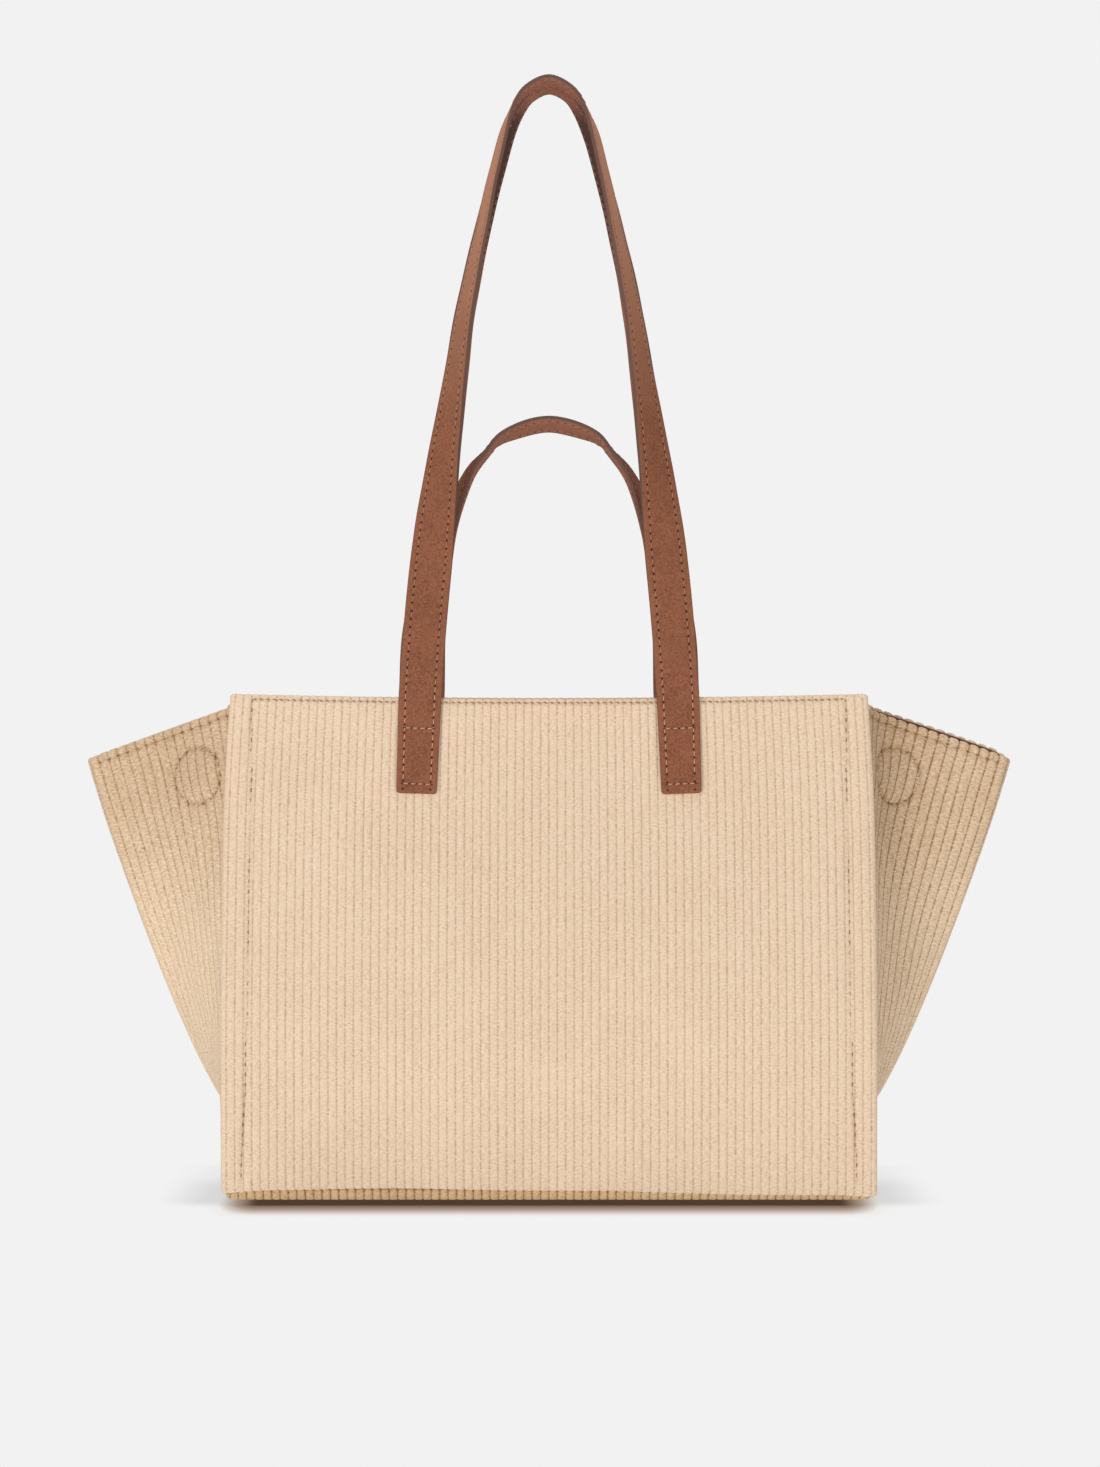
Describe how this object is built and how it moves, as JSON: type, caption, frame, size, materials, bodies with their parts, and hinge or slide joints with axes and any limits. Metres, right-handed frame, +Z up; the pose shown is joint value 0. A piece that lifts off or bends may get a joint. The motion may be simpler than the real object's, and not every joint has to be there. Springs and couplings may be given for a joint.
{
  "type": "tote bag",
  "caption": "Ribbed corduroy tote bag with fold-out side gussets, covered magnetic buttons, long shoulder straps and short hand handles in brown leather.",
  "frame": {"origin": "on the ground under the middle of the bag, at the centre of its base", "axes": "+Z up towards the straps, +X to the right across the front as seen in the picture, the front faces -Y"},
  "size_m": [0.467, 0.1438, 0.5612],
  "materials": {
    "corduroy": "beige wide-wale cotton corduroy",
    "lining": "dark brown plain-woven lining",
    "interlining": "off-white needled felt",
    "board": "matt stiffening board",
    "leather": "brown suede-finish leather with painted edges",
    "magnet": "plated magnet disc"
  },
  "bodies": {
    "shell": {"base_panel": "corduroy", "base_board": "board", "base_lining": "lining", "front_panel": "corduroy", "front_interlining": "interlining", "front_lining": "lining", "back_panel": "corduroy", "back_interlining": "interlining", "back_lining": "lining", "front_left_seam_allowance": "corduroy", "front_right_seam_allowance": "corduroy", "back_left_seam_allowance": "corduroy", "back_right_seam_allowance": "corduroy", "front_long_strap_left_end": "leather", "front_long_strap_right_end": "leather", "front_short_handle_left_end": "leather", "front_short_handle_right_end": "leather", "back_long_strap_left_end": "leather", "back_long_strap_right_end": "leather", "back_short_handle_left_end": "leather", "back_short_handle_right_end": "leather"},
    "left_wing": {"left_gusset": "corduroy", "left_gusset_lining": "lining", "left_front_button_cover": "corduroy", "left_front_button_magnet": "magnet", "left_back_button_cover": "corduroy", "left_back_button_magnet": "magnet"},
    "right_wing": {"right_gusset": "corduroy", "right_gusset_lining": "lining", "right_front_button_cover": "corduroy", "right_front_button_magnet": "magnet", "right_back_button_cover": "corduroy", "right_back_button_magnet": "magnet"},
    "front_long_strap": {"front_long_strap_face": "leather", "front_long_strap_backing": "leather"},
    "front_short_handle": {"front_short_handle_face": "leather", "front_short_handle_backing": "leather"},
    "back_long_strap": {"back_long_strap_face": "leather", "back_long_strap_backing": "leather"},
    "back_short_handle": {"back_short_handle_face": "leather", "back_short_handle_backing": "leather"}
  },
  "joints": [
    {"name": "front_long_strap_swing", "type": "hinge", "parent": "shell", "child": "front_long_strap", "pos_m": [0, -0.0405, 0.25015], "axis": [1, 0, 0], "range_deg": [0, 165]},
    {"name": "front_short_handle_lean", "type": "hinge", "parent": "shell", "child": "front_short_handle", "pos_m": [0, -0.035, 0.25015], "axis": [1, 0, 0], "range_deg": [0, 6]},
    {"name": "back_long_strap_swing", "type": "hinge", "parent": "shell", "child": "back_long_strap", "pos_m": [0, 0.0405, 0.25015], "axis": [-1, 0, 0], "range_deg": [0, 165]},
    {"name": "back_short_handle_lean", "type": "hinge", "parent": "shell", "child": "back_short_handle", "pos_m": [0, 0.035, 0.25015], "axis": [-1, 0, 0], "range_deg": [0, 6]},
    {"name": "left_wing_tuck", "type": "hinge", "parent": "shell", "child": "left_wing", "pos_m": [-0.1593, 0, 0.0068], "axis": [0, 1, 0], "range_deg": [0, 38]},
    {"name": "right_wing_tuck", "type": "hinge", "parent": "shell", "child": "right_wing", "pos_m": [0.1593, 0, 0.0068], "axis": [0, -1, 0], "range_deg": [0, 38]}
  ]
}
